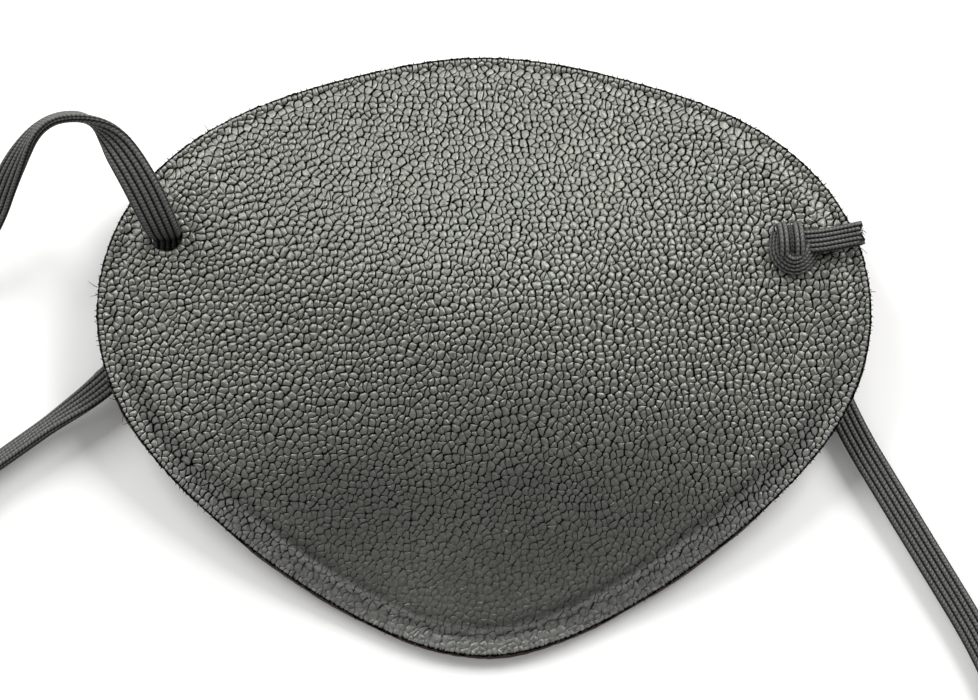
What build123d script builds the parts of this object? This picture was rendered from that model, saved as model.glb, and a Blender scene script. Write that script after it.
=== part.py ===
from build123d import *
import os
from math import pi, tan

# A formed leather eye patch on a knotted flat elastic strap, in millimetres. It lies dome up:
# +X to the knotted side, +Y to the brow edge, +Z up, with the origin on the surface under its middle.

os.makedirs("parts", exist_ok=True)

# Patch outline: right half, from the cheek tip round to the brow; the left half mirrors it.
HALF_WIDTH = 41.05
HALF_HEIGHT = 32.2
RIM_HALF = [
    (0, -HALF_HEIGHT),
    (15, -27.3),
    (30, -16.4),
    (38.9, -5.2),
    (HALF_WIDTH, 4.8),
    (37.9, 15.6),
    (29.5, 24.0),
    (15.5, 29.7),
    (0, HALF_HEIGHT),
]

# Form of the underside: a dome for the eye, and wings that curl up towards both sides.
DOME_HEIGHT = 10.0
DOME_HALF_WIDTH = 37.0
DOME_CENTRE_Y = 2.0
DOME_TO_BROW = 27.5
DOME_TO_CHEEK = 31.5
DOME_SQUARENESS = 2.4
DOME_FALL = 1.5
WING_START = 10.0
WING_RISE = 5.5
FORM_STEP = 5.0
FORM_REACH = (45.0, 35.0)

# Layers, from the face outwards. The stiffener stops short of the rim, and the leather steps down over
# its edge to a flange on the lining, which is widest at the cheek tip.
LINING_THICKNESS = 0.8
STIFFENER_THICKNESS = 1.2
LEATHER_THICKNESS = 1.0
STEP_INSET = 1.8
STEP_SHIFT = 0.5
STIFFENER_INSET = STEP_INSET + LEATHER_THICKNESS

# Punched strap holes.
HOLE_DIAMETER = 3.4
LEFT_HOLE = (-33.8, 12.5)
RIGHT_HOLE = (33.3, 11.6)

# Flat elastic. Its runs are drawn as round tubes with the section area of the flat band.
STRAP_WIDTH = 3.2
STRAP_THICKNESS = 1.0
TUBE_DIAMETER = 2.0
BEND_SHARE = 0.45

# Knot on the front of the right hole, with its cut tail.
KNOT_CENTRE = (33.0, 11.5)
KNOT_SIZE = (4.3, 5.7, 3.0)
KNOT_ROUNDING = 1.1
KNOT_CLEARANCE = 0.25
TAIL_CENTRE = (37.4, 12.8)
TAIL_LENGTH = 5.6
TAIL_CLEARANCE = 0.4

# Spare strap, wound on edge beside the cheek tip and held by a tie.
COIL_CENTRE = (30.0, -60.0)
COIL_INNER_RADIUS = 13.7
COIL_OUTER_RADIUS = 19.2
COIL_ROUNDING = 0.4
TIE_THICKNESS = 0.4
TIE_ANGLE = 120.0
TIE_SWEEP = 16.0

# Strap centre lines, from one end to the other. The right run leaves the knot for the coil.
RIGHT_ROUTE = [
    (33.3, 11.6, 7.6),
    (33.3, 11.5, 1.7),
    (34.7, 4.2, 1.6),
    (38.2, -6.2, 1.9),
    (44.6, -16.8, 1.7),
    (56.0, -35.6, 1.4),
    (57.2, -46.6, 1.9),
    (50.0, -56.2, 2.0),
    (47.8, -62.0, 2.0),
]
# The left run leaves the top of the coil for the left hole.
LEFT_ROUTE = [
    (28.6, -74.5, 3.6),
    (24.0, -74.7, 4.7),
    (17.8, -74.4, 4.8),
    (9.5, -72.6, 1.9),
    (-6.0, -68.4, 1.0),
    (-25.0, -60.0, 1.1),
    (-43.5, -49.6, 1.0),
    (-56.0, -37.4, 1.5),
    (-60.4, -24.6, 1.8),
    (-56.6, -14.6, 1.9),
    (-47.5, -8.2, 2.2),
    (-39.4, -2.4, 2.6),
    (-34.6, 4.4, 1.6),
    (-33.8, 12.5, 1.7),
    (-33.8, 12.6, 6.4),
]
# The free end springs from the left hole over the rim and down to the surface.
FREE_END_ROUTE = [
    (-33.8, 12.6, 6.4),
    (-34.0, 13.0, 9.6),
    (-36.4, 18.2, 12.8),
    (-40.4, 24.2, 13.9),
    (-46.0, 24.4, 12.4),
    (-50.0, 19.6, 9.0),
    (-53.0, 13.0, 5.0),
    (-57.6, 8.2, 2.0),
    (-63.2, 5.8, 1.5),
    (-67.6, 8.8, 1.4),
]

PRISM_BOTTOM = -1.0
PRISM_HEIGHT = 30.0
INSET_STATIONS = 32
SURFACE_TOLERANCE = 0.01


def underside_height(x, y):
    """Height of the face side of the lining above the surface that the patch lies on."""
    wing_start_to_rim = HALF_WIDTH - WING_START
    wing = WING_RISE * (max(abs(x) - WING_START, 0) / wing_start_to_rim) ** 2
    across = abs(x) / DOME_HALF_WIDTH
    reach = DOME_TO_BROW if y > DOME_CENTRE_Y else DOME_TO_CHEEK
    along = abs(y - DOME_CENTRE_Y) / reach
    outward = (across**DOME_SQUARENESS + along**DOME_SQUARENESS) ** (1 / DOME_SQUARENESS)
    return wing + DOME_HEIGHT * max(1 - outward**2, 0) ** DOME_FALL


def form_face(height):
    """The formed underside as one smooth face, lifted by height."""
    columns = round(FORM_REACH[0] / FORM_STEP)
    rows = round(FORM_REACH[1] / FORM_STEP)
    grid = [
        [
            Vector(i * FORM_STEP, j * FORM_STEP, underside_height(i * FORM_STEP, j * FORM_STEP) + height)
            for i in range(-columns, columns + 1)
        ]
        for j in range(-rows, rows + 1)
    ]
    return Face.make_surface_from_array_of_points(grid, tol=SURFACE_TOLERANCE, min_deg=3, max_deg=3)


def rim_prism(inset=0.0, shift=0.0):
    """An upright prism on the patch outline, drawn in by inset and moved by shift towards the brow."""
    left_half = [(-x, y) for x, y in reversed(RIM_HALF[1:-1])]
    rim = Wire([Edge.make_spline([Vector(*p) for p in [*RIM_HALF, *left_half]], periodic=True)])
    stations = [i / INSET_STATIONS for i in range(INSET_STATIONS)]
    points = [rim @ t + (rim % t).rotate(Axis.Z, 90) * inset for t in stations]
    with BuildPart() as prism:
        with BuildSketch(Plane((0, shift, PRISM_BOTTOM))):
            with BuildLine():
                Spline(*points, periodic=True)
            make_face()
        extrude(amount=PRISM_HEIGHT)
    return prism.part


def square_to_leather(place, clearance):
    """A plane lying on the leather at place, raised by clearance, with its x axis running outwards."""
    x, y = place
    slope_x = (underside_height(x + 1, y) - underside_height(x - 1, y)) / 2
    slope_y = (underside_height(x, y + 1) - underside_height(x, y - 1)) / 2
    height = underside_height(x, y) + STACK_HEIGHT + clearance
    return Plane(origin=(x, y, height), x_dir=(1, 0, slope_x), z_dir=(-slope_x, -slope_y, 1))


def bend_radii(points):
    """The radius of the arc at each corner of a route, as large as its two runs allow."""
    corners = [Vector(*p) for p in points]
    radii = []
    for before, corner, after in zip(corners, corners[1:], corners[2:]):
        half_turn = (corner - before).get_angle(after - corner) / 2
        shorter = min((corner - before).length, (after - corner).length)
        radii.append(BEND_SHARE * shorter / tan(half_turn * pi / 180))
    return radii


STACK_HEIGHT = LINING_THICKNESS + STIFFENER_THICKNESS + LEATHER_THICKNESS
HOLES = [LEFT_HOLE, RIGHT_HOLE]
outline = rim_prism()
raised_outline = rim_prism(STEP_INSET, STEP_SHIFT)
stiffener_outline = rim_prism(STIFFENER_INSET, STEP_SHIFT)

# ---- lining: soft layer against the face, out to the rim ----
with BuildPart() as lining:
    extrude(form_face(0), amount=LINING_THICKNESS, dir=(0, 0, 1))
    add(outline, mode=Mode.INTERSECT)
    with Locations(*HOLES):
        Cylinder(HOLE_DIAMETER / 2, PRISM_HEIGHT, mode=Mode.SUBTRACT)
lining.part.label = "lining"
export_step(lining.part, "parts/lining.step")

# ---- stiffener: firm board sealed between the leather and the lining ----
with BuildPart() as stiffener:
    extrude(form_face(LINING_THICKNESS), amount=STIFFENER_THICKNESS, dir=(0, 0, 1))
    add(stiffener_outline, mode=Mode.INTERSECT)
    with Locations(*HOLES):
        Cylinder(HOLE_DIAMETER / 2, PRISM_HEIGHT, mode=Mode.SUBTRACT)
stiffener.part.label = "stiffener"
export_step(stiffener.part, "parts/stiffener.step")

# ---- outer leather: flange on the lining, wall round the stiffener, and front over it ----
with BuildPart() as flange:
    extrude(form_face(LINING_THICKNESS), amount=LEATHER_THICKNESS, dir=(0, 0, 1))
    add(outline, mode=Mode.INTERSECT)
    add(raised_outline, mode=Mode.SUBTRACT)
with BuildPart() as wall:
    extrude(
        form_face(LINING_THICKNESS), amount=STIFFENER_THICKNESS + LEATHER_THICKNESS, dir=(0, 0, 1)
    )
    add(raised_outline, mode=Mode.INTERSECT)
    add(stiffener_outline, mode=Mode.SUBTRACT)
with BuildPart() as front:
    extrude(
        form_face(LINING_THICKNESS + STIFFENER_THICKNESS), amount=LEATHER_THICKNESS, dir=(0, 0, 1)
    )
    add(stiffener_outline, mode=Mode.INTERSECT)
with BuildPart() as outer_leather:
    add(flange.part)
    add(wall.part)
    add(front.part)
    with Locations(*HOLES):
        Cylinder(HOLE_DIAMETER / 2, PRISM_HEIGHT, mode=Mode.SUBTRACT)
outer_leather.part.label = "outer_leather"
export_step(outer_leather.part, "parts/outer_leather.step")

# ---- knot on the front of the right hole, square to the leather ----
with BuildPart() as strap_knot:
    with BuildSketch(square_to_leather(KNOT_CENTRE, KNOT_CLEARANCE)):
        RectangleRounded(KNOT_SIZE[0], KNOT_SIZE[1], KNOT_ROUNDING)
    extrude(amount=KNOT_SIZE[2])
    fillet(strap_knot.faces().sort_by(Axis.Z)[-1].edges(), KNOT_ROUNDING)
strap_knot.part.label = "strap_knot"
export_step(strap_knot.part, "parts/strap_knot.step")

with BuildPart() as strap_knot_tail:
    with BuildSketch(square_to_leather(TAIL_CENTRE, TAIL_CLEARANCE)):
        Rectangle(TAIL_LENGTH, STRAP_WIDTH - 0.4)
    extrude(amount=STRAP_THICKNESS)
strap_knot_tail.part.label = "strap_knot_tail"
export_step(strap_knot_tail.part, "parts/strap_knot_tail.step")

# ---- strap run from the knot, down the right hole and out under the rim to the coil ----
with BuildPart() as strap_right_run:
    with BuildLine() as right_line:
        FilletPolyline(*RIGHT_ROUTE, radius=bend_radii(RIGHT_ROUTE))
    with BuildSketch(Plane(origin=right_line.line @ 0, z_dir=right_line.line % 0)):
        Circle(TUBE_DIAMETER / 2)
    sweep()
strap_right_run.part.label = "strap_right_run"
export_step(strap_right_run.part, "parts/strap_right_run.step")

# ---- spare strap, wound on edge ----
with BuildPart() as strap_coil:
    with BuildSketch(Plane((*COIL_CENTRE, TIE_THICKNESS))):
        Circle(COIL_OUTER_RADIUS)
        Circle(COIL_INNER_RADIUS, mode=Mode.SUBTRACT)
    extrude(amount=STRAP_WIDTH)
    fillet(strap_coil.edges().filter_by(GeomType.CIRCLE), COIL_ROUNDING)
strap_coil.part.label = "strap_coil"
export_step(strap_coil.part, "parts/strap_coil.step")

# ---- tie round the coil ----
coil_axis = Axis((*COIL_CENTRE, 0), (0, 0, 1))
tie_outward = Vector(1, 0, 0).rotate(Axis.Z, TIE_ANGLE)
tie_plane = Plane((*COIL_CENTRE, 0), x_dir=tie_outward, z_dir=tie_outward.rotate(Axis.Z, -90))
turn_width = COIL_OUTER_RADIUS - COIL_INNER_RADIUS
with BuildPart() as coil_tie:
    with BuildSketch(tie_plane):
        with Locations((COIL_INNER_RADIUS + turn_width / 2, TIE_THICKNESS + STRAP_WIDTH / 2)):
            Rectangle(turn_width + 2 * TIE_THICKNESS, STRAP_WIDTH + 2 * TIE_THICKNESS)
            Rectangle(turn_width, STRAP_WIDTH, mode=Mode.SUBTRACT)
    revolve(axis=coil_axis, revolution_arc=TIE_SWEEP)
coil_tie.part.label = "coil_tie"
export_step(coil_tie.part, "parts/coil_tie.step")

# ---- strap run from the coil, under the left rim and up the left hole ----
with BuildPart() as strap_left_run:
    with BuildLine() as left_line:
        FilletPolyline(*LEFT_ROUTE, radius=bend_radii(LEFT_ROUTE))
    with BuildSketch(Plane(origin=left_line.line @ 0, z_dir=left_line.line % 0)):
        Circle(TUBE_DIAMETER / 2)
    sweep()
strap_left_run.part.label = "strap_left_run"
export_step(strap_left_run.part, "parts/strap_left_run.step")

# ---- free end, arching out of the left hole ----
with BuildPart() as strap_free_end:
    with BuildLine() as free_line:
        FilletPolyline(*FREE_END_ROUTE, radius=bend_radii(FREE_END_ROUTE))
    with BuildSketch(Plane(origin=free_line.line @ 0, z_dir=free_line.line % 0)):
        Circle(TUBE_DIAMETER / 2)
    sweep()
strap_free_end.part.label = "strap_free_end"
export_step(strap_free_end.part, "parts/strap_free_end.step")

# Each tube's bends, and its volume against its section times its length.
section = pi * (TUBE_DIAMETER / 2) ** 2
for name, points, line, tube in [
    ("right run", RIGHT_ROUTE, right_line, strap_right_run),
    ("left run", LEFT_ROUTE, left_line, strap_left_run),
    ("free end", FREE_END_ROUTE, free_line, strap_free_end),
]:
    length = sum(edge.length for edge in line.edges())
    ratio = tube.part.volume / (section * length)
    print(f"{name}: {length:.1f} mm, volume ratio {ratio:.4f}")
    print("  radii", [round(r, 1) for r in bend_radii(points)])
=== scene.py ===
import math

import bpy
import numpy as np
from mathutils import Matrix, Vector, geometry


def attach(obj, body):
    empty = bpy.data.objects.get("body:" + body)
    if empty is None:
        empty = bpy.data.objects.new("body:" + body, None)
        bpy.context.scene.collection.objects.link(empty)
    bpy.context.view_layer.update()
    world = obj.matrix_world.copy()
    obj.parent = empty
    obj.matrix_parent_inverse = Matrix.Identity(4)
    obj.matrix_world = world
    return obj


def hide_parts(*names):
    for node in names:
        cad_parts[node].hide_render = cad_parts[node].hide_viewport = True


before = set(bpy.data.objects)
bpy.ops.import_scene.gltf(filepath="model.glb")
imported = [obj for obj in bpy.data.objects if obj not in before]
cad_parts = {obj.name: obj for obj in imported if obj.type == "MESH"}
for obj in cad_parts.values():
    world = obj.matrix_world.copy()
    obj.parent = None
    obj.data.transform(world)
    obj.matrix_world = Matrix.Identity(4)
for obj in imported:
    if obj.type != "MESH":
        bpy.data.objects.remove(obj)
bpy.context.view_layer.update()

# Lengths below are in millimetres, as in the CAD model, unless they are multiplied by MM.
MM = 0.001
UP = np.array([0.0, 0.0, 1.0])

# ---- form of the patch, as in the CAD model ----
HALF_WIDTH = 41.05
HALF_HEIGHT = 32.2
RIM_HALF = [
    (0, -HALF_HEIGHT),
    (15, -27.3),
    (30, -16.4),
    (38.9, -5.2),
    (HALF_WIDTH, 4.8),
    (37.9, 15.6),
    (29.5, 24.0),
    (15.5, 29.7),
    (0, HALF_HEIGHT),
]
DOME_HEIGHT = 10.0
DOME_HALF_WIDTH = 37.0
DOME_CENTRE_Y = 2.0
DOME_TO_BROW = 27.5
DOME_TO_CHEEK = 31.5
DOME_SQUARENESS = 2.4
DOME_FALL = 1.5
WING_START = 10.0
WING_RISE = 5.5
LINING_THICKNESS = 0.8
STIFFENER_THICKNESS = 1.2
LEATHER_THICKNESS = 1.0
STEP_INSET = 1.8
STEP_SHIFT = 0.5
HOLE_RADIUS = 1.7
LEFT_HOLE = (-33.8, 12.5)
RIGHT_HOLE = (33.3, 11.6)

# ---- the elastic ----
STRAP_WIDTH = 3.2
STRAP_THICKNESS = 1.0
RIBS = 5
COIL_CENTRE = (30.0, -60.0)
# The line's radius at the start of the coil and after each full turn.
COIL_TURN_RADII = (18.3, 17.3, 15.6, 14.5)
COIL_TURNS = 3.25
COIL_HEIGHT = 2.1
COIL_STEPS = 16

RIGHT_ROUTE = [
    (33.3, 11.6, 7.6),
    (33.3, 11.5, 1.7),
    (34.7, 4.2, 1.6),
    (38.2, -6.2, 1.9),
    (44.6, -16.8, 1.7),
    (56.0, -35.6, 1.4),
    (57.2, -46.6, 1.9),
    (50.0, -56.2, 2.0),
]
LEFT_ROUTE = [
    (24.0, -74.7, 4.7),
    (17.8, -74.4, 4.8),
    (9.5, -72.6, 1.9),
    (-6.0, -68.4, 1.0),
    (-25.0, -60.0, 1.1),
    (-43.5, -49.6, 1.0),
    (-56.0, -37.4, 1.5),
    (-60.4, -24.6, 1.8),
    (-56.6, -14.6, 1.9),
    (-47.5, -8.2, 2.2),
    (-39.4, -2.4, 2.6),
    (-34.6, 4.4, 1.6),
    (-33.8, 12.5, 1.7),
    (-33.8, 12.6, 6.4),
]
FREE_END_ROUTE = [
    (-34.0, 13.0, 9.6),
    (-36.4, 18.2, 12.8),
    (-40.4, 24.2, 13.9),
    (-46.0, 24.4, 12.4),
    (-50.0, 19.6, 9.0),
    (-53.0, 13.0, 5.0),
    (-57.6, 8.2, 2.0),
    (-63.2, 5.8, 1.5),
    (-67.6, 8.8, 1.4),
]

rng = np.random.default_rng(11)


# ---------------------------------------------------------------- camera
def make_camera():
    """Looks almost straight down, from a little on the cheek side."""
    tilt = math.radians(4)
    target = Vector((0.53, 0.36, 5.0)) * MM
    distance = 433.5 * MM
    data = bpy.data.cameras.new("camera")
    data.lens = 150
    data.sensor_width = 36
    data.clip_start = 0.01
    camera = bpy.data.objects.new("camera", data)
    camera.location = target + Vector((0, -math.sin(tilt), math.cos(tilt))) * distance
    camera.rotation_euler = (tilt, 0, 0)
    bpy.context.scene.collection.objects.link(camera)
    bpy.context.scene.camera = camera


# ---------------------------------------------------------------- shapes shared by the pieces
def closed_curve(points, count):
    """count evenly spaced points on the smooth closed curve through points."""
    knots = np.array(points, float)
    n = len(knots)
    gap = np.linalg.norm(np.roll(knots, -1, 0) - knots, axis=1)
    slope = (np.roll(knots, -1, 0) - knots) / gap[:, None]
    matrix = np.zeros((n, n))
    for i in range(n):
        matrix[i, i - 1] += gap[i - 1]
        matrix[i, i] += 2 * (gap[i - 1] + gap[i])
        matrix[i, (i + 1) % n] += gap[i]
    bend = np.linalg.solve(matrix, 6 * (slope - np.roll(slope, 1, 0)))
    fine = []
    for i in range(n):
        j = (i + 1) % n
        t = np.linspace(0, 1, 60, endpoint=False)[:, None]
        line = (1 - t) * knots[i] + t * knots[j]
        sag = ((1 - t) ** 3 - (1 - t)) * bend[i] + (t**3 - t) * bend[j]
        fine.append(line + sag * gap[i] ** 2 / 6)
    fine = np.vstack(fine)
    ring = np.vstack([fine, fine[:1]])
    along = np.concatenate([[0], np.cumsum(np.linalg.norm(np.diff(ring, axis=0), axis=1))])
    wanted = np.linspace(0, along[-1], count, endpoint=False)
    return np.column_stack([np.interp(wanted, along, ring[:, k]) for k in range(2)])


def inward_normals(ring):
    """Unit normals of a counter-clockwise ring, pointing inwards."""
    tangent = np.roll(ring, -1, 0) - np.roll(ring, 1, 0)
    tangent /= np.linalg.norm(tangent, axis=1)[:, None]
    return np.column_stack([-tangent[:, 1], tangent[:, 0]])


def rim_curve(count):
    """count evenly spaced points on the patch's outline, counter-clockwise."""
    left_half = [(-x, y) for x, y in reversed(RIM_HALF[1:-1])]
    return closed_curve([*RIM_HALF, *left_half], count)


RIM = rim_curve(720)


def inset_from(ring, points):
    """Distance of each point from the ring, positive inside it."""
    result = np.empty(len(points))
    normals = inward_normals(ring)
    for start in range(0, len(points), 2000):
        part = points[start : start + 2000]
        apart = part[:, None] - ring[None]
        nearest = (apart**2).sum(2).argmin(1)
        rows = np.arange(len(part))
        offset = apart[rows, nearest]
        distance = np.linalg.norm(offset, axis=1)
        side = np.sign((offset * normals[nearest]).sum(1))
        result[start : start + 2000] = distance * np.where(side == 0, 1, side)
    return result


def smoothstep(low, high, value):
    """0 up to low and 1 from high on, with a smooth rise between them."""
    t = np.clip((value - low) / (high - low), 0, 1)
    return t * t * (3 - 2 * t)


def underside(x, y):
    """Height of the face side of the lining."""
    wing = WING_RISE * (np.maximum(np.abs(x) - WING_START, 0) / (HALF_WIDTH - WING_START)) ** 2
    reach = np.where(y > DOME_CENTRE_Y, DOME_TO_BROW, DOME_TO_CHEEK)
    across = (np.abs(x) / DOME_HALF_WIDTH) ** DOME_SQUARENESS
    along = (np.abs(y - DOME_CENTRE_Y) / reach) ** DOME_SQUARENESS
    outward = (across + along) ** (1 / DOME_SQUARENESS)
    return wing + DOME_HEIGHT * np.maximum(1 - outward**2, 0) ** DOME_FALL


def hand_forming(x, y):
    """Slow unevenness of hide that was wetted and pressed by hand."""
    long_waves = np.sin(0.21 * x + 0.13 * y + 0.6) * np.cos(0.17 * y - 0.09 * x)
    short_waves = np.sin(0.47 * x - 0.38 * y + 2.0) * np.sin(0.41 * y + 0.22 * x)
    return 0.10 * long_waves + 0.05 * short_waves


def front_height(points):
    """Height of the leather's front before its grain."""
    x, y = points[:, 0], points[:, 1]
    rim_inset = inset_from(RIM, points)
    step_inset = inset_from(RIM, points - np.array([0, STEP_SHIFT]))
    soft_reach = 1.9 - 0.8 * smoothstep(4, -12, y)
    step = smoothstep(STEP_INSET - 0.6, STEP_INSET + soft_reach, step_inset)
    crease_depth = 0.05 + 0.08 * smoothstep(0, -20, y)
    crease = -crease_depth * np.exp(-(((step_inset - STEP_INSET + 0.3) / 0.3) ** 2))
    rolled = -0.22 * (1 - smoothstep(0, 0.45, rim_inset))
    layers = LINING_THICKNESS + LEATHER_THICKNESS + STIFFENER_THICKNESS * step
    return underside(x, y) + layers + crease + rolled + hand_forming(x, y) * step


def link(name, vertices, faces):
    """A new mesh object from vertices in millimetres."""
    mesh = bpy.data.meshes.new(name)
    mesh.from_pydata([tuple(v) for v in np.asarray(vertices) * MM], [], faces)
    mesh.validate()
    mesh.polygons.foreach_set("use_smooth", [True] * len(mesh.polygons))
    obj = bpy.data.objects.new(name, mesh)
    bpy.context.scene.collection.objects.link(obj)
    return obj


def paint(obj, name, values):
    """Stores one number per vertex for the material to read."""
    attribute = obj.data.attributes.new(name, "FLOAT", "POINT")
    attribute.data.foreach_set("value", np.asarray(values, np.float32))


# ---------------------------------------------------------------- material helpers
class Nodes:
    """Adds and joins the nodes of one material."""

    def __init__(self, name):
        self.material = bpy.data.materials.new(name)
        self.material.use_nodes = True
        self.tree = self.material.node_tree
        self.tree.nodes.clear()
        self.shader = self.add("ShaderNodeBsdfPrincipled")
        output = self.add("ShaderNodeOutputMaterial")
        self.join(self.shader.outputs["BSDF"], output.inputs["Surface"])

    def add(self, kind, **settings):
        node = self.tree.nodes.new(kind)
        for key, value in settings.items():
            setattr(node, key, value)
        return node

    def join(self, source, target):
        self.tree.links.new(source, target)

    def put(self, value, socket):
        """Joins a socket, or sets a plain value."""
        if isinstance(value, bpy.types.NodeSocket):
            self.join(value, socket)
        else:
            socket.default_value = value

    def set(self, **values):
        for key, value in values.items():
            self.put(value, self.shader.inputs[key.replace("_", " ")])

    def place(self):
        return self.add("ShaderNodeTexCoord").outputs["Object"]

    def attribute(self, name):
        return self.add("ShaderNodeAttribute", attribute_name=name).outputs["Fac"]

    def noise(self, scale, detail=3.0, rough=0.55):
        node = self.add("ShaderNodeTexNoise")
        node.inputs["Scale"].default_value = scale
        node.inputs["Detail"].default_value = detail
        node.inputs["Roughness"].default_value = rough
        self.join(self.place(), node.inputs["Vector"])
        return node.outputs["Fac"]

    def cells(self, scale):
        node = self.add("ShaderNodeTexVoronoi")
        node.inputs["Scale"].default_value = scale
        self.join(self.place(), node.inputs["Vector"])
        return node.outputs["Distance"]

    def math(self, operation, a, b=0.0, clamp=False):
        node = self.add("ShaderNodeMath", operation=operation, use_clamp=clamp)
        for value, socket in zip((a, b), node.inputs):
            self.put(value, socket)
        return node.outputs["Value"]

    def ramp(self, value, low, high, to_low=0.0, to_high=1.0):
        """value from low..high mapped to to_low..to_high, clamped."""
        node = self.add("ShaderNodeMapRange", clamp=True)
        names = ("Value", "From Min", "From Max", "To Min", "To Max")
        for key, item in zip(names, (value, low, high, to_low, to_high)):
            self.put(item, node.inputs[key])
        return node.outputs["Result"]

    def blend(self, factor, a, b):
        """Colour a where factor is 0 and b where it is 1."""
        node = self.add("ShaderNodeMix", data_type="RGBA")
        self.put(factor, node.inputs["Factor"])
        for colour, socket in ((a, node.inputs[6]), (b, node.inputs[7])):
            self.put(colour if isinstance(colour, bpy.types.NodeSocket) else (*colour, 1), socket)
        return node.outputs[2]

    def bump(self, height, distance):
        node = self.add("ShaderNodeBump")
        node.inputs["Distance"].default_value = distance
        node.inputs["Strength"].default_value = 1.0
        self.join(height, node.inputs["Height"])
        return node.outputs["Normal"]


def leather_front():
    """Black pebbled hide with a soft finish, dull and darker down in its grooves, where painted shade
    blackens the colour.
    """
    n = Nodes("pebbled_leather")
    # groove is painted shade: the colour goes black down in the grain's grooves, in the crease at the foot of
    # the step and along the rim edge.
    groove = n.ramp(n.attribute("groove"), 0.12, 0.48)
    shade = n.math("MULTIPLY", n.attribute("shade"), n.ramp(n.noise(90, 3), 0.3, 0.7, 0.6, 1.3))
    scuffs = n.ramp(n.noise(1500, 4, 0.7), 0.35, 0.65)
    wear = n.math("MULTIPLY", n.attribute("wear"), scuffs, clamp=True)
    mottle = n.ramp(n.noise(2600, 4, 0.7), 0.3, 0.7)
    tone = n.blend(mottle, (0.0305, 0.0318, 0.0270), (0.150, 0.155, 0.136))
    dim = n.blend(shade, tone, (0.004, 0.004, 0.004))
    worn = n.blend(wear, dim, (0.30, 0.30, 0.29))
    colour = n.blend(groove, worn, (0.001, 0.001, 0.001))
    finish = n.ramp(n.noise(420, 3), 0.3, 0.7, 0.25, 0.37)
    fine = n.math("ADD", n.noise(3800, 4, 0.65), n.math("MULTIPLY", n.cells(2600), 0.5))
    n.set(
        Base_Color=colour,
        Roughness=n.math("ADD", finish, n.math("MULTIPLY", groove, 0.5), clamp=True),
        Specular_IOR_Level=n.ramp(groove, 0, 1, 1.0, 0.02),
        Specular_Tint=(0.98, 1.0, 0.90, 1),
        Normal=n.bump(fine, 0.05 * MM),
    )
    return n.material


def leather_edge():
    """The raw cut edge: dark brown fibres."""
    n = Nodes("cut_edge")
    fibres = n.noise(2200, 5, 0.7)
    n.set(
        Base_Color=n.blend(fibres, (0.012, 0.009, 0.008), (0.060, 0.042, 0.034)),
        Roughness=0.85,
        Normal=n.bump(fibres, 0.08 * MM),
    )
    return n.material


def suede():
    """Brushed dark brown lining with a short nap."""
    n = Nodes("suede_lining")
    nap = n.noise(1500, 6, 0.75)
    patches = n.noise(160, 3)
    n.set(
        Base_Color=n.blend(
            n.math("ADD", n.math("MULTIPLY", nap, 0.5), n.math("MULTIPLY", patches, 0.5)),
            (0.030, 0.017, 0.012),
            (0.120, 0.070, 0.048),
        ),
        Roughness=0.95,
        Sheen_Weight=0.35,
        Sheen_Roughness=0.5,
        Normal=n.bump(nap, 0.09 * MM),
    )
    return n.material


def board():
    """Pressed fibre board of the hidden stiffener."""
    n = Nodes("fibre_board")
    grain = n.noise(700, 5, 0.7)
    n.set(
        Base_Color=n.blend(grain, (0.10, 0.08, 0.06), (0.24, 0.19, 0.15)),
        Roughness=0.9,
        Normal=n.bump(grain, 0.05 * MM),
    )
    return n.material


def knitted_elastic():
    """Black ribbed elastic: rows of small slanting stitches on every rib, with painted shade in its hollows
    and between its stitches.
    """
    n = Nodes("ribbed_elastic")
    uv = n.add("ShaderNodeUVMap", uv_map="strap").outputs["UV"]
    split = n.add("ShaderNodeSeparateXYZ")
    n.join(uv, split.inputs["Vector"])
    across = n.math("MULTIPLY", split.outputs["X"], float(RIBS))
    in_rib = n.math("FRACT", across)
    off_middle = n.math("ABSOLUTE", n.math("SUBTRACT", in_rib, 0.5))
    along = n.math("MULTIPLY", split.outputs["Y"], 2.4)
    slant = n.math("ADD", along, n.math("MULTIPLY", off_middle, 1.3))
    stitch = n.math("SINE", n.math("MULTIPLY", slant, 2 * math.pi))
    fuzz = n.noise(5200, 4, 0.7)
    height = n.math("ADD", n.math("MULTIPLY", stitch, 0.2), n.math("MULTIPLY", fuzz, 1.3))
    groove = n.attribute("groove")
    # The thread's colour follows the bump's height: painted shade low between the stitches and fuzz, lighter
    # on their tops.
    thread = n.blend(n.ramp(height, 0.3, 1.05), (0.016, 0.016, 0.015), (0.155, 0.157, 0.147))
    n.set(
        # Painted shade: the colour goes black in the hollows between the ribs, at the band's edges and down a
        # fold.
        Base_Color=n.blend(n.ramp(groove, 0.1, 0.9), thread, (0.003, 0.003, 0.003)),
        Roughness=0.72,
        Specular_IOR_Level=n.ramp(groove, 0, 0.6, 0.4, 0.0),
        Sheen_Weight=0.06,
        Sheen_Roughness=0.45,
        Normal=n.bump(height, 0.06 * MM),
    )
    return n.material


def tie_fabric():
    """Looped face of the hook-and-loop tie."""
    n = Nodes("tie_fabric")
    loops = n.cells(2400)
    n.set(
        Base_Color=n.blend(loops, (0.10, 0.10, 0.10), (0.02, 0.02, 0.02)),
        Roughness=0.9,
        Normal=n.bump(loops, 0.12 * MM),
    )
    return n.material


def fibre():
    """Loose threads and hide fibres."""
    n = Nodes("loose_fibre")
    colour = n.blend(n.noise(3000, 2), (0.012, 0.012, 0.012), (0.035, 0.032, 0.03))
    n.set(Base_Color=colour, Roughness=0.7)
    return n.material


# ---------------------------------------------------------------- the leather's grain
GRAIN_SPACING = 0.72
# The pebbles' lattice is longer one way than the other, and is turned so that they lie in slanting rows.
LATTICE_ALONG = GRAIN_SPACING * 1.24
LATTICE_ACROSS = GRAIN_SPACING * 0.92
LATTICE_TURN = math.radians(52)
# The way that the deepest grooves run.
ROW_ANGLE = math.radians(62)
GRAIN_RELIEF = 0.17
RIM_PEBBLES = 390
HOLE_PEBBLES = 18


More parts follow.
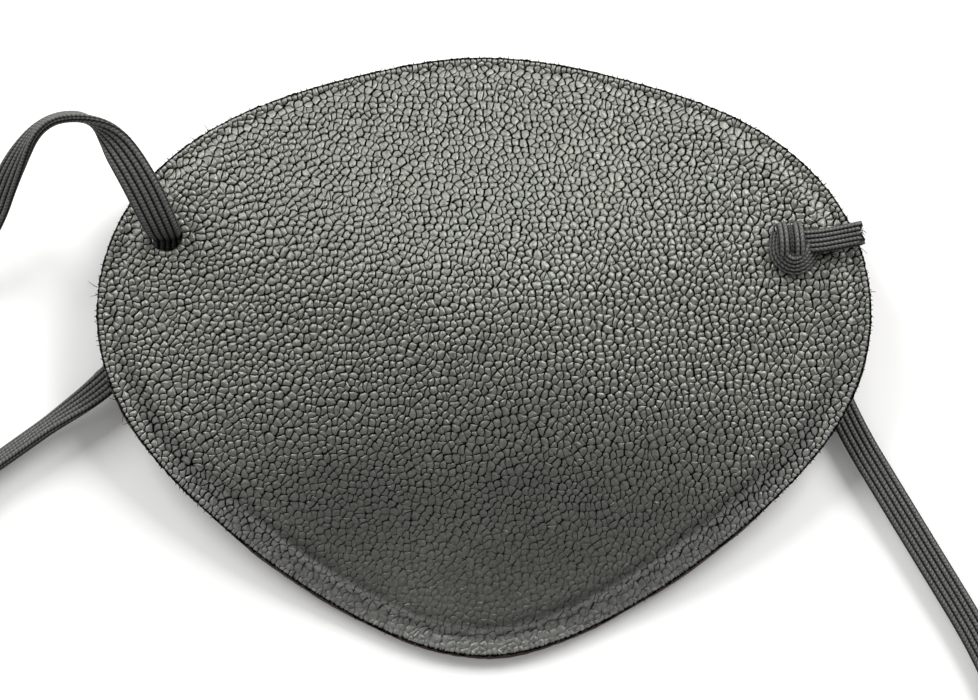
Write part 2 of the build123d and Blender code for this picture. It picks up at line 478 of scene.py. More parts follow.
def lattice_points():
    """Middles of the pebbles over a field larger than the patch: a jittered lattice with wavy rows."""
    columns, rows = np.meshgrid(np.arange(-76, 77), np.arange(-90, 91), indexing="ij")
    lattice_x = (columns + 0.5 * (rows % 2)) * LATTICE_ALONG
    lattice_y = rows * LATTICE_ACROSS * 0.87
    jitter = rng.uniform(-0.42, 0.42, (2, *columns.shape))
    u = (lattice_x + jitter[0] * LATTICE_ALONG).ravel()
    v = (lattice_y + jitter[1] * LATTICE_ACROSS).ravel()
    v = v + 1.6 * np.sin(u * 0.11) + 0.8 * np.sin(u * 0.23 + 1.0)
    cosine, sine = math.cos(LATTICE_TURN), math.sin(LATTICE_TURN)
    return np.column_stack([u * cosine - v * sine, u * sine + v * cosine])


def grain_seeds():
    """Middles of the pebbles, and points across the rim and the holes that cut the cells off there."""
    points = lattice_points()
    points = points[inset_from(RIM, points) > 0.6]
    for hole in (LEFT_HOLE, RIGHT_HOLE):
        away = np.linalg.norm(points - np.array(hole), axis=1)
        points = points[away > HOLE_RADIUS + 0.55]

    ring = rim_curve(RIM_PEBBLES)
    normals = inward_normals(ring)
    inset = rng.uniform(0.26, 0.42, RIM_PEBBLES)[:, None]
    inner, outer = [ring + normals * inset], [ring - normals * inset]
    for hole in (LEFT_HOLE, RIGHT_HOLE):
        angle = np.linspace(0, 2 * math.pi, HOLE_PEBBLES, endpoint=False)
        direction = np.column_stack([np.cos(angle), np.sin(angle)])
        inner.append(np.array(hole) + direction * (HOLE_RADIUS + 0.28))
        outer.append(np.array(hole) + direction * (HOLE_RADIUS - 0.28))
    inside = np.vstack([points, *inner])
    kept = spaced_out(inside, 0.34)
    far_ring = ring - normals * 3.0
    return inside[kept], np.vstack([*outer, far_ring])


def spaced_out(points, gap):
    """Which points to keep so that no two are nearer than gap. Later points win."""
    cells, kept = {}, np.ones(len(points), bool)
    for i in range(len(points) - 1, -1, -1):
        home = tuple(np.floor(points[i] / gap).astype(int))
        around = [(home[0] + a, home[1] + b) for a in (-1, 0, 1) for b in (-1, 0, 1)]
        if any(np.linalg.norm(points[i] - points[j]) < gap for c in around for j in cells.get(c, ())):
            kept[i] = False
        else:
            cells.setdefault(home, []).append(i)
    return kept


def pebble_cells(inside, outside):
    """The corner points of all pebbles, and each pebble's corners in order."""
    points = np.vstack([inside, outside])
    made = geometry.delaunay_2d_cdt([Vector(p) for p in points], [], [], 0, 1e-9)
    places = np.array([tuple(v) for v in made[0]])
    origin = [ids[0] if ids else -1 for ids in made[3]]
    triangles = np.array([f for f in made[2] if len(f) == 3])
    a, b, c = (places[triangles[:, k]] for k in range(3))
    doubled = 2 * ((b - a)[:, 0] * (c - a)[:, 1] - (b - a)[:, 1] * (c - a)[:, 0])
    ab, ac = ((b - a) ** 2).sum(1), ((c - a) ** 2).sum(1)
    centre_x = ((c - a)[:, 1] * ab - (b - a)[:, 1] * ac) / doubled
    centre_y = ((b - a)[:, 0] * ac - (c - a)[:, 0] * ab) / doubled
    corners = a + np.column_stack([centre_x, centre_y])
    around = {}
    for t, triangle in enumerate(triangles):
        for vertex in triangle:
            around.setdefault(vertex, []).append(t)
    cells = []
    for vertex, ids in around.items():
        if not 0 <= origin[vertex] < len(inside):
            continue
        offset = corners[ids] - places[vertex]
        order = np.argsort(np.arctan2(offset[:, 1], offset[:, 0]))
        cells.append([ids[k] for k in order])
    return corners, cells


def merge_close(corners, cells, gap):
    """Joins corners nearer than gap, and drops the repeats from the cells."""
    target = np.arange(len(corners))
    for cell in cells:
        for i, j in zip(cell, cell[1:] + cell[:1]):
            a, b = target[i], target[j]
            if a != b and np.linalg.norm(corners[a] - corners[b]) < gap:
                target[target == b] = a
    merged = []
    for cell in cells:
        ids = [target[i] for i in cell]
        ids = [x for k, x in enumerate(ids) if x != ids[k - 1]]
        if len(ids) >= 3:
            merged.append(ids)
    return corners, merged


def make_pebbles():
    """The grain seen from above: its points, how deep each one is and how much painted groove shade it gets,
    and the faces.
    """
    corners, cells = merge_close(*pebble_cells(*grain_seeds()), 0.05)
    used = sorted({i for cell in cells for i in cell})
    number = {old: new for new, old in enumerate(used)}
    flat = [corners[i] for i in used]
    depth = list(rng.uniform(0.35, 1.0, len(flat)))
    groove = [0.15 + 0.85 * d for d in depth]
    halfway = {}

    def groove_middle(i, j):
        """The point halfway along the groove between two corners, deepest where it follows the rows."""
        key = (min(i, j), max(i, j))
        if key not in halfway:
            start, along = flat[key[0]], flat[key[1]] - flat[key[0]]
            row_way = ROW_ANGLE + 0.35 * math.sin(0.07 * start[0] + 0.05 * start[1])
            row = np.array([math.cos(row_way), math.sin(row_way)])
            aligned = abs(along @ row) / np.linalg.norm(along)
            strength = (0.24 + 0.76 * aligned**2) * rng.uniform(0.7, 1.0)
            sideways = np.array([-along[1], along[0]]) * rng.uniform(-0.16, 0.16)
            flat.append(start + along / 2 + sideways)
            depth.append(strength)
            # The same strength sets how much painted shade darkens this point.
            groove.append(strength)
            halfway[key] = len(flat) - 1
        return halfway[key]

    faces = []
    for cell in cells:
        own_corners = [number[i] for i in cell]
        ring = []
        for i, j in zip(own_corners, own_corners[1:] + own_corners[:1]):
            ring += [i, groove_middle(i, j)]
        outline = np.array([flat[i] for i in ring])
        middle = outline.mean(0)
        crown = rng.uniform(-0.35, 0.25)
        lean = rng.normal(0, 0.16, 2)
        start = len(flat)
        for point in outline:
            spot = point + (middle - point) * (0.34 + rng.uniform(-0.06, 0.06))
            flat.append(spot)
            depth.append(-0.14 + crown * 0.3 + float(lean @ (spot - middle)))
            groove.append(0.08)
        inner = list(range(start, len(flat)))
        top = len(flat)
        flat.append(middle)
        depth.append(-0.42 + crown * 0.6)
        groove.append(0.0)
        for k in range(len(ring)):
            m = (k + 1) % len(ring)
            faces.append((ring[k], ring[m], inner[m], inner[k]))
        faces.extend((inner[k], inner[(k + 1) % len(inner)], top) for k in range(len(inner)))
    return np.array(flat), np.array(depth), np.array(groove), faces


def finish_front(flat, depth, groove):
    """The front's height with its grain, and what its material reads: the grooves' painted shade, the wear
    and the shade.
    """
    x, y = flat[:, 0], flat[:, 1]
    rim_inset = inset_from(RIM, flat)
    step_inset = inset_from(RIM, flat - np.array([0, STEP_SHIFT]))
    cheek_side = smoothstep(4, -12, y)
    softened = smoothstep(-2, -18, y) * (1 - smoothstep(20, 38, np.abs(x)))

    relief = GRAIN_RELIEF * (1 - 0.45 * softened) * (0.35 + 0.65 * smoothstep(0.0, 0.5, rim_inset))
    height = front_height(flat) - relief * depth

    # Painted shade in the grooves: less of it towards the cheek, a little more in the crease at the foot of
    # the step, and full black along the rim edge.
    groove = groove * (1 - 0.22 * softened - 0.3 * smoothstep(-14, -27, y))
    in_crease = np.exp(-(((step_inset - STEP_INSET + 0.1) / 0.35) ** 2))
    groove = groove + 0.10 * in_crease * (0.25 + 0.75 * cheek_side)
    groove = np.maximum(groove, 1 - smoothstep(0.04, 0.3, rim_inset))

    wear = np.exp(-(((step_inset - STEP_INSET - 0.45) / 0.35) ** 2)) * 0.5
    wear = wear + (1 - smoothstep(0.1, 0.6, rim_inset)) * 0.6
    wear = wear + 0.35 * cheek_side * (1 - smoothstep(1.2, 1.9, step_inset))
    wear = wear + 0.7 * cheek_side * np.exp(-(((step_inset - 1.75) / 0.3) ** 2))
    shade = 0.42 * softened + 0.38 * np.exp(-(((step_inset - 2.9) / 0.7) ** 2)) * cheek_side
    return height, {"groove": groove, "wear": wear, "shade": shade}


def make_outer_leather():
    """One closed hide: pebbled front, cut edges at the rim and the holes, and a plain back."""
    flat, depth, groove, faces = make_pebbles()
    height, painted = finish_front(flat, depth, groove)
    loops = boundary_loops(faces)
    vertices, wall_faces, back_faces = add_wall_and_back(np.column_stack([flat, height]), loops)
    obj = link("outer_leather_hide", vertices, faces + wall_faces + back_faces)
    for name, values in painted.items():
        paint(obj, name, np.concatenate([values, np.zeros(len(vertices) - len(flat))]))
    obj.data.materials.append(leather_front())
    obj.data.materials.append(leather_edge())
    slots = np.ones(len(obj.data.polygons), int)
    slots[: len(faces)] = 0
    obj.data.polygons.foreach_set("material_index", slots)
    sharpen_rings(obj, loops)
    return obj


def boundary_loops(faces):
    """The closed loops of edges that only one face uses, in order."""
    following = {}
    for face in faces:
        for a, b in zip(face, [*face[1:], face[0]]):
            if following.get(("twin", b, a)):
                del following[("twin", b, a)]
            else:
                following[("twin", a, b)] = True
    after = {a: b for _, a, b in following}
    loops = []
    while after:
        start, nearby = next(iter(after.items()))
        loop = [start]
        del after[start]
        while nearby != start:
            loop.append(nearby)
            nearby = after.pop(nearby)
        loops.append(loop)
    return loops


BACK_GAP = 0.02


def add_wall_and_back(top, loops):
    """Closes the front: an upright wall down each loop, and a back over the lining and the stiffener."""
    vertices = [tuple(v) for v in top]
    walls, back_loops = [], []
    for loop in loops:
        ring = top[loop][:, :2]
        level = underside(ring[:, 0], ring[:, 1]) + LINING_THICKNESS + BACK_GAP
        start = len(vertices)
        vertices.extend(zip(ring[:, 0], ring[:, 1], level))
        lower = list(range(start, len(vertices)))
        for k in range(len(loop)):
            m = (k + 1) % len(loop)
            walls.append((loop[m], loop[k], lower[k], lower[m]))
        back_loops.append(lower)
    spots = np.array(vertices)[:, :2]
    loop_ids = [i for loop in back_loops for i in loop]
    inner = scattered_inside(1.6, 1.0)
    start = len(vertices)
    step_inset = inset_from(RIM, inner - np.array([0, STEP_SHIFT]))
    over_stiffener = smoothstep(STEP_INSET + 0.9, STEP_INSET + 1.1, step_inset)
    level = underside(inner[:, 0], inner[:, 1]) + LINING_THICKNESS + BACK_GAP
    level = level + (STIFFENER_THICKNESS - BACK_GAP) * over_stiffener
    vertices.extend(zip(inner[:, 0], inner[:, 1], level))
    ids = [*loop_ids, *range(start, len(vertices))]
    where = [Vector(p) for p in np.vstack([spots[loop_ids], inner])]
    back = triangles_between(where, [len(loop) for loop in back_loops], ids)
    return vertices, walls, back


def scattered_inside(spacing, margin):
    """A regular field of points inside the rim and clear of the holes."""
    reach_x, reach_y = int(HALF_WIDTH / spacing) + 1, int(HALF_HEIGHT / spacing) + 1
    columns, rows = np.meshgrid(np.arange(-reach_x, reach_x + 1), np.arange(-reach_y, reach_y + 1))
    points = np.column_stack([(columns + 0.5 * (rows % 2)).ravel(), rows.ravel()]) * spacing
    points = points[inset_from(RIM, points) > margin]
    for hole in (LEFT_HOLE, RIGHT_HOLE):
        points = points[np.linalg.norm(points - np.array(hole), axis=1) > HOLE_RADIUS + margin * 0.6]
    return points


def loop_edges(sizes):
    """The edges of closed loops whose points follow each other, given how many points each loop has."""
    edges, offset = [], 0
    for n in sizes:
        edges.extend((offset + k, offset + (k + 1) % n) for k in range(n))
        offset += n
    return edges


def is_inside(point, ring):
    """Whether a flat point lies inside a closed ring of points."""
    x, y = ring[:, 0], ring[:, 1]
    next_x, next_y = np.roll(x, -1), np.roll(y, -1)
    straddles = (y > point[1]) != (next_y > point[1])
    crossing = (next_x - x) * (point[1] - y) / np.where(straddles, next_y - y, 1) + x
    return bool((straddles & (point[0] < crossing)).sum() % 2)


def triangles_between(where, sizes, ids, facing_up=False):
    """Triangles inside the longest loop and outside the others. The loops come first among the points."""
    made = geometry.delaunay_2d_cdt(where, loop_edges(sizes), [], 1, 1e-9)
    places = np.array([tuple(v) for v in made[0]])
    origin = [i[0] for i in made[3]]
    flat = np.array([tuple(v) for v in where])
    starts = np.cumsum([0, *sizes])
    holes = [flat[starts[k] : starts[k + 1]] for k in range(len(sizes)) if sizes[k] < max(sizes)]
    result = []
    for face in made[2]:
        middle = places[face].mean(0)
        near = [hole for hole in holes if np.linalg.norm(middle - hole.mean(0)) < 2 * HOLE_RADIUS]
        if any(is_inside(middle, hole) for hole in near):
            continue
        corners = [ids[origin[i]] for i in face]
        result.append(tuple(corners if facing_up else reversed(corners)))
    return result


def sharpen_rings(obj, loops):
    """Keeps a hard edge where the front meets its cut wall."""
    hard = {frozenset(pair) for loop in loops for pair in zip(loop, loop[1:] + loop[:1])}
    for edge in obj.data.edges:
        if frozenset(edge.vertices) in hard:
            edge.use_edge_sharp = True


# ---------------------------------------------------------------- lining
def make_lining():
    """Suede sheet under the leather, cut by hand a hair wider than it at the cheek tip."""
    count = 420
    ring = rim_curve(count)
    normals = inward_normals(ring)
    angle = np.linspace(0, 2 * math.pi, count, endpoint=False)
    proud = 0.05 + 0.05 * np.sin(9 * angle + 1) + 0.04 * np.sin(23 * angle) + rng.uniform(-0.03, 0.03, count)
    proud = proud + 0.14 * smoothstep(-12, -27, ring[:, 1])
    rims = [ring - normals * proud[:, None]]
    for hole in (LEFT_HOLE, RIGHT_HOLE):
        turn = np.linspace(0, -2 * math.pi, 28, endpoint=False)
        rims.append(np.array(hole) + HOLE_RADIUS * np.column_stack([np.cos(turn), np.sin(turn)]))
    inner = scattered_inside(1.0, 0.55)
    flat = np.vstack([*rims, inner])
    sizes = [len(rim) for rim in rims]
    where = [Vector(p) for p in flat]
    level = np.maximum(underside(flat[:, 0], flat[:, 1]), 0.0)
    nap = 0.03 * np.sin(flat[:, 0] * 2.1 + np.sin(flat[:, 1] * 1.7)) * np.cos(flat[:, 1] * 1.9) + 0.03
    lower = np.column_stack([flat, level + nap])
    upper = np.column_stack([flat, level + LINING_THICKNESS])
    total = len(flat)
    down = triangles_between(where, sizes, list(range(total)))
    up = triangles_between(where, sizes, list(range(total, 2 * total)), facing_up=True)
    walls = [(a, b, b + total, a + total) for a, b in loop_edges(sizes)]
    obj = link("lining_suede", np.vstack([lower, upper]), [*down, *up, *walls])
    obj.data.materials.append(suede())
    return obj


# ---------------------------------------------------------------- flat elastic
def strap_section():
    """The ribbed band's cross-section: across, through, and how deep in a groove each point lies, which also
    sets its painted shade.
    """
    per_rib = 6
    across = np.linspace(-1, 1, RIBS * per_rib + 1)
    phase = (across + 1) / 2 * RIBS
    hollow = np.abs(np.cos(math.pi * phase)) ** 7
    hollow[0] = hollow[-1] = 0.9
    half_width, half_thickness = STRAP_WIDTH / 2, STRAP_THICKNESS / 2
    shoulder = 1 - 0.45 * np.abs(across) ** 8
    through = half_thickness * shoulder * (1 - 0.5 * hollow)
    inner = across * (half_width - 0.08)
    top = list(zip(inner, through, hollow))
    bottom = [(a, -b, h) for a, b, h in reversed(top)]
    return np.array([*top, (half_width, 0.0, 0.2), *bottom, (-half_width, 0.0, 0.2)])


def resampled(points, spacing):
    """The same line with points spacing apart."""
    along = np.concatenate([[0], np.cumsum(np.linalg.norm(np.diff(points, axis=0), axis=1))])
    count = max(2, int(round(along[-1] / spacing)) + 1)
    wanted = np.linspace(0, along[-1], count)
    return np.column_stack([np.interp(wanted, along, points[:, k]) for k in range(3)]), wanted


def spline_points(name, route, fineness=24):
    """Points on the smooth spline that has the route's points as its control points."""
    curve = bpy.data.curves.new(name, "CURVE")
    curve.dimensions = "3D"
    curve.resolution_u = fineness
    spline = curve.splines.new("NURBS")
    spline.points.add(len(route) - 1)
    for point, place in zip(spline.points, route):
        point.co = (*place, 1)
    spline.order_u = 3
    spline.use_endpoint_u = True
    obj = bpy.data.objects.new(name, curve)
    bpy.context.scene.collection.objects.link(obj)
    bpy.context.view_layer.update()
    mesh = bpy.data.meshes.new_from_object(obj.evaluated_get(bpy.context.evaluated_depsgraph_get()))
    points = np.array([tuple(v.co) for v in mesh.vertices])
    bpy.data.objects.remove(obj)
    bpy.data.meshes.remove(mesh)
    return points


def unit(v):
    """The same direction with length 1."""
    return v / np.linalg.norm(v)


def wide_direction(way, tangent):
    """A keyed direction of the band's width: flat, edge, or a vector."""
    if isinstance(way, str):
        level = np.cross(UP, tangent)
        if way == "edge" or np.linalg.norm(level) < 0.05:
            return UP
        return unit(level) * (-1 if way == "flat_turned" else 1)
    return np.array(way, float)


def keyed_width(keys, distance, tangent):
    """The direction of the band's width between the two keys around a distance, square to the tangent."""
    after = next((k for k in range(len(keys)) if keys[k][0] >= distance), len(keys) - 1)
    (start, first), (end, second) = keys[max(after - 1, 0)], keys[after]
    share = float(smoothstep(0, 1, np.array((distance - start) / max(end - start, 1e-9))))
    wide = (1 - share) * wide_direction(first, tangent) + share * wide_direction(second, tangent)
    return wide - tangent * float(wide @ tangent)


def ribbon(line, keys, spacing=0.36, width=1.0, fold=0.0, fray=0.0, spread=(0, 1, 0)):
    """The band swept along line. keys are (place along the line in mm, direction of its width).

    width is a share of the band's width, fold presses a hollow down its middle, fray ravels its last end,
    and spread is (place, reach, share) of a stretch where the band is pulled wider.
    """
    line, along = resampled(line, spacing)
    tangents = np.gradient(line, axis=0)
    tangents /= np.linalg.norm(tangents, axis=1)[:, None]
    section = strap_section()
    ring_across = np.clip((section[:, 0] / STRAP_WIDTH) + 0.5, 0, 1)
    dip = fold * np.exp(-((section[:, 0] / 0.42) ** 2))
    section[:, 0] *= width
    rings, hollows, coordinates = [], [], []
    before = None
    for place, tangent, distance in zip(line, tangents, along):
        wide = keyed_width(keys, distance, tangent)
        if np.linalg.norm(wide) < 1e-3:
            wide = before
        wide = unit(wide)
        before = wide
        thick = np.cross(tangent, wide)
        if fold and thick[2] < 0:
            thick = -thick
        pulled = 1 + spread[2] * math.exp(-(((distance - spread[0]) / spread[1]) ** 2))
        rings.append(place + section[:, :1] * pulled * wide + (section[:, 1] - dip)[:, None] * thick)
        # A fold's hollow gets painted shade too.
        hollows.append(np.maximum(section[:, 2], 0.6 * dip / (fold or 1)))
        coordinates.append(np.column_stack([ring_across, np.full(len(section), distance)]))
    n = len(section)
    vertices = np.vstack(rings)
    faces = []
    for r in range(len(rings) - 1):
        for k in range(n):
            m = (k + 1) % n
            faces.append((r * n + k, r * n + m, (r + 1) * n + m, (r + 1) * n + k))
    last = (len(rings) - 1) * n
    if fray:
        vertices[last:] += tangents[-1] * rng.uniform(-fray, fray, n)[:, None]
    faces.append(tuple(reversed(range(n))))
    faces.append(tuple(last + k for k in range(n)))
    return {
        "line": line,
        "vertices": vertices,
        "faces": faces,
        "groove": np.concatenate(hollows),
        "uv": np.vstack(coordinates),
    }


def link_bands(name, bands):
    """One object of one or more swept bands."""
    offsets = np.cumsum([0] + [len(band["vertices"]) for band in bands])
    faces = [tuple(i + o for i in face) for band, o in zip(bands, offsets) for face in band["faces"]]
    obj = link(name, np.vstack([band["vertices"] for band in bands]), faces)
    paint(obj, "groove", np.concatenate([band["groove"] for band in bands]))
    uv = np.vstack([band["uv"] for band in bands])
    layer = obj.data.uv_layers.new(name="strap")
    loop_vertices = np.empty(len(obj.data.loops), np.int32)
    obj.data.loops.foreach_get("vertex_index", loop_vertices)
    layer.data.foreach_set("uv", uv[loop_vertices].astype(np.float32).ravel())
    obj.data.materials.append(ELASTIC)
    return obj


def coil_points():
    """Turns of the wound strap, clockwise from above and from the outside in."""
    points = []
    for k in range(1, int(COIL_TURNS * COIL_STEPS) + 1):
        done = k / COIL_STEPS
        radius = np.interp(done, range(len(COIL_TURN_RADII)), COIL_TURN_RADII)
        angle = -2 * math.pi * done
        points.append((
            COIL_CENTRE[0] + radius * math.cos(angle),
            COIL_CENTRE[1] + radius * math.sin(angle),
            COIL_HEIGHT,
        ))
    return points


def length_of(points):
    """Length of the line through the points."""
    return float(np.linalg.norm(np.diff(points, axis=0), axis=1).sum())


ELASTIC = knitted_elastic()


def make_strap():
    """The elastic from the knot, through the coil, to its free end."""
    route = [*RIGHT_ROUTE, *coil_points(), *LEFT_ROUTE, *FREE_END_ROUTE]
    line = spline_points("strap_line", route)

    def at(x, y, z):
        """Place along the line of the point nearest to x, y, z."""
        along = np.concatenate([[0], np.cumsum(np.linalg.norm(np.diff(line, axis=0), axis=1))])
        return float(along[np.linalg.norm(line - np.array([x, y, z]), axis=1).argmin()])

    keys = [
        (0.0, (1, 0, 0)),
        (at(33.4, 9.5, 1.9), (1, 0, 0)),
        (at(36, 0, 1.8), "flat_turned"),
        (at(54.5, -33.0, 1.4), "flat_turned"),
        (at(53.0, -52, 1.9), "edge"),
        (at(28, -74.5, 2.3), "edge"),
        (at(23, -74.6, 4.5), (0, 1, 0.3)),
        (at(12, -73.2, 3), (0, 1, 0)),
        (at(-6, -68.4, 1), "flat_turned"),
        (at(-58, -30, 1), "flat_turned"),
        (at(-57, -17, 1.2), (0.35, -0.4, 0.85)),
        (at(-47.5, -8.2, 2.1), (0.3, -0.45, 0.8)),
        (at(-39.4, -2.6, 2.4), (0.5, -0.75, 0.3)),
        (at(-34.6, 5, 1.8), (1, -0.3, 0)),
        (at(-33.8, 12.4, 4.0), (1, 0.1, 0)),
        (at(-34.5, 14.2, 10), (0.95, 0.35, 0)),
        (at(-37.2, 19, 12.6), (0.85, 0.5, 0.1)),
        (at(-43.4, 24.2, 13.0), (0.1, -0.25, 0.95)),
        (at(-51.8, 15, 6.4), (0.95, -0.3, 0.35)),
        (at(-58, 8, 2.0), "flat_turned"),
        (length_of(line) + 1, "flat_turned"),
    ]
    spread = (at(-35.5, 16.5, 11.5), 7.0, 0.2)
    band = ribbon(line, keys, fray=0.25, spread=spread)
    return link_bands("elastic_strap", [band]), band["line"]


def above_front(places):
    """Points given as x, y and height above the leather's front."""
    spots = np.array(places, float)
    spots[:, 2] += underside(spots[:, 0], spots[:, 1])
    spots[:, 2] += LINING_THICKNESS + STIFFENER_THICKNESS + LEATHER_THICKNESS
    return spots


# The knot's visible bands, as x, y and height above the leather's front: one over the knot towards the brow,
# one across below it, and the cut tail.
KNOT_UPRIGHT = [
    (32.6, 9.9, 0.2),
    (32.6, 10.0, 1.5),
    (32.6, 11.2, 2.2),
    (32.5, 12.4, 2.1),
    (32.4, 13.4, 1.2),
    (32.4, 13.4, 0.2),
]
KNOT_LOOP = [
    (31.5, 12.6, 0.5),
    (31.2, 11.3, 0.9),
    (31.5, 9.9, 1.0),
    (32.8, 9.1, 1.0),
    (34.1, 9.7, 0.9),
    (34.8, 11.0, 0.5),
]
KNOT_TAIL = [
    (33.2, 11.7, 0.9),
    (35.0, 11.7, 1.1),
    (37.3, 12.0, 0.7),
    (39.7, 12.45, 0.85),
]
KNOT_SPACING = 0.15


def make_knot():
    """The knot at the right hole, pulled tight, with its tail frayed at the cut."""
    upright = spline_points("knot_upright", above_front(KNOT_UPRIGHT))
    loop = spline_points("knot_loop", above_front(KNOT_LOOP))
    tail = spline_points("knot_tail", above_front(KNOT_TAIL))
    upright_keys = [(0, (1, 0, 0)), (20, (1, 0.05, 0))]
    loop_keys = [(0, (0.9, 0.2, 0.7)), (2.6, (0.7, 0.7, 0.8)), (5, (-0.2, 0.9, 0.7)), (8, (-0.9, 0.3, 0.6))]
    tail_keys = [(0, (0, 1, 0.1)), (4, (-0.1, 1, -0.1)), (9, (-0.1, 1, 0.05))]
    bands = [
        ribbon(upright, upright_keys, KNOT_SPACING, 0.9, fold=0.32),
        ribbon(loop, loop_keys, KNOT_SPACING, 0.8),
        ribbon(tail, tail_keys, KNOT_SPACING, 0.8, fray=0.45),
    ]
    return link_bands("elastic_knot", bands)


def hair(points, radius):
    """Vertices and faces of one thin tapering fibre."""
    points = np.array(points, float)
    tangents = np.gradient(points, axis=0)
    vertices, faces = [], []
    for i, (place, tangent) in enumerate(zip(points, tangents)):
        side = unit(np.cross(tangent, (0.3, 0.2, 0.9)))
        other = unit(np.cross(tangent, side))
        thin = radius * (1 - 0.7 * i / (len(points) - 1))
        for k in range(4):
            angle = math.pi / 2 * k
            vertices.append(place + thin * (math.cos(angle) * side + math.sin(angle) * other))
    for i in range(len(points) - 1):
        for k in range(4):
            m = (k + 1) % 4
            faces.append((4 * i + k, 4 * i + m, 4 * i + 4 + m, 4 * i + 4 + k))
    last = 4 * (len(points) - 1)
    faces.append((3, 2, 1, 0))
    faces.append((last, last + 1, last + 2, last + 3))
    return vertices, faces


# Hide fibres standing out of the cut rim: where they leave it, their heading in degrees, and their length.
RIM_FIBRES = [
    (-41.0, 6.9, 160, 1.2),
    (-40.9, 6.2, 215, 0.9),
    (-40.3, -1.6, 200, 1.3),
    (-39.8, -3.2, 230, 0.8),
    (-39.0, -5.0, 185, 1.1),
    (-38.2, -6.6, 240, 0.9),
    (-37.7, -7.4, 200, 0.7),
    (-29.6, 24.0, 100, 1.0),
    (-31.0, 23.0, 135, 0.7),
    (-40.6, 1.6, 170, 0.6),
    (41.0, 6.4, 20, 0.6),
    (40.4, 0.4, -30, 0.5),
]
FIBRE_STEPS = 5
FUZZ_COUNT = 420
YARN_COUNT = 16


def rim_level(x, y):
    """Height of the top of the lining at the rim."""
    return float(underside(np.array(x), np.array(y))) + LINING_THICKNESS


def long_fibres():
    """The curling fibres that stand out of the rim."""
    for x, y, heading, length in RIM_FIBRES:
        way = math.radians(heading)
        curl = rng.uniform(-0.9, 0.9)
        points = [np.array([x, y, rim_level(x, y) + 0.5])]
        step = length / FIBRE_STEPS
        for _ in range(FIBRE_STEPS):
            way += curl / FIBRE_STEPS
            ahead = (math.cos(way) * step, math.sin(way) * step, rng.uniform(-0.02, 0.06))
            points.append(points[-1] + ahead)
        yield points, 0.05


def rim_fuzz():
    """Short hairs all round the cut edge."""
    ring = rim_curve(FUZZ_COUNT)
    for (x, y), away in zip(ring, -inward_normals(ring)):
        lean = math.atan2(away[1], away[0]) + rng.uniform(-1.1, 1.1)
        reach = rng.uniform(0.12, 0.42)
        level = rim_level(x, y) + rng.uniform(0.2, 0.9)
        step = np.array([math.cos(lean), math.sin(lean), rng.uniform(-0.3, 0.3)]) * reach / 2
        root = np.array([x - 0.08 * away[0], y - 0.08 * away[1], level])
        yield [root + step * j for j in range(3)], rng.uniform(0.05, 0.09)


def tail_yarns():
    """Yarn ends at the cut of the knot's tail."""
    for k in range(YARN_COUNT):
        y = 10.95 + 2.5 * k / (YARN_COUNT - 1) + rng.uniform(-0.08, 0.08)
        start = above_front([(39.2, y, 0.55 + rng.uniform(0, 0.5))])[0]
        way = rng.uniform(-0.5, 0.5)
        length = rng.uniform(0.6, 1.3)
        step = np.array([math.cos(way), math.sin(way), rng.uniform(-0.15, 0.2)]) * length / 4
        sway = np.array([0, rng.uniform(-0.06, 0.06), 0])
        yield [start + step * j + sway * j * j for j in range(5)], 0.07


def make_fibres():
    """Loose fibres at the rim, and the yarn ends of the knot's tail."""
    vertices, faces = [], []
    for points, radius in [*long_fibres(), *rim_fuzz(), *tail_yarns()]:
        more, sides = hair(points, radius)
        faces.extend(tuple(i + len(vertices) for i in side) for side in sides)
        vertices.extend(more)
    obj = link("loose_fibres", vertices, faces)
    obj.data.materials.append(fibre())
    return obj


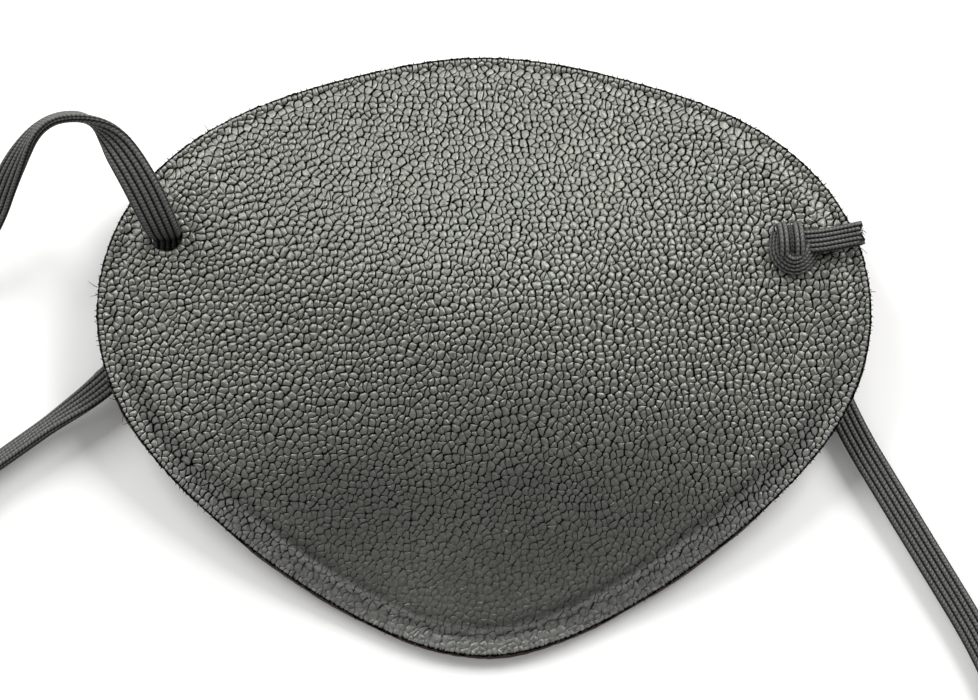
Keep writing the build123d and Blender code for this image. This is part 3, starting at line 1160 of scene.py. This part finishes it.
# ---------------------------------------------------------------- stage and light
def make_stage():
    """A white floor under the patch."""
    bpy.ops.mesh.primitive_plane_add(size=3.0)
    floor = bpy.context.object
    floor.name = "floor"
    n = Nodes("floor_paint")
    n.set(Base_Color=(0.90, 0.90, 0.885, 1), Roughness=0.6, Specular_IOR_Level=0.2)
    floor.data.materials.append(n.material)


def softbox(name, place, size, power):
    """A square light at place, in metres, facing the patch."""
    data = bpy.data.lights.new(name, "AREA")
    data.shape = "RECTANGLE"
    data.size = data.size_y = size
    data.energy = power
    light = bpy.data.objects.new(name, data)
    light.location = Vector(place)
    light.rotation_euler = (-Vector(place)).to_track_quat("-Z", "Y").to_euler()
    bpy.context.scene.collection.objects.link(light)


def make_lights():
    """A white room, two large lights beyond the brow edge, and a low one behind them."""
    world = bpy.data.worlds.new("studio")
    bpy.context.scene.world = world
    world.use_nodes = True
    background = world.node_tree.nodes["Background"]
    background.inputs["Color"].default_value = (1, 1, 1, 1)
    background.inputs["Strength"].default_value = 0.45
    softbox("left_softbox", (-0.48, 0.54, 0.52), 0.42, 5.9)
    softbox("right_softbox", (0.48, 0.54, 0.52), 0.42, 7.6)
    softbox("back_softbox", (0.12, 0.68, 0.30), 0.30, 1.8)


# ---------------------------------------------------------------- assembly
def area_inside(ring):
    """Area inside a closed ring of flat points."""
    x, y = ring[:, 0], ring[:, 1]
    return 0.5 * abs(float((x * np.roll(y, -1) - y * np.roll(x, -1)).sum()))


def main():
    make_camera()
    make_stage()
    make_lights()
    bpy.context.scene.view_settings.view_transform = "Standard"

    hide = make_outer_leather()
    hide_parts("outer_leather")
    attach(hide, "root")

    lining = make_lining()
    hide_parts("lining")
    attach(lining, "root")

    ring = RIM * MM
    area = area_inside(ring)

    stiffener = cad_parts["stiffener"]
    stiffener.data.materials.clear()
    stiffener.data.materials.append(board())

    strap, path = make_strap()
    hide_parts("strap_right_run", "strap_coil", "strap_left_run", "strap_free_end")
    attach(strap, "root")

    knot = make_knot()
    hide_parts("strap_knot", "strap_knot_tail")
    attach(knot, "root")

    fibres = make_fibres()
    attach(fibres, "root")

    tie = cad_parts["coil_tie"]
    tie.data.materials.clear()
    tie.data.materials.append(tie_fabric())

    tuple(c * MM for c in RIGHT_ROUTE[1])
    length_of(path) * MM
    [tuple(p * MM) for p in path]


main()
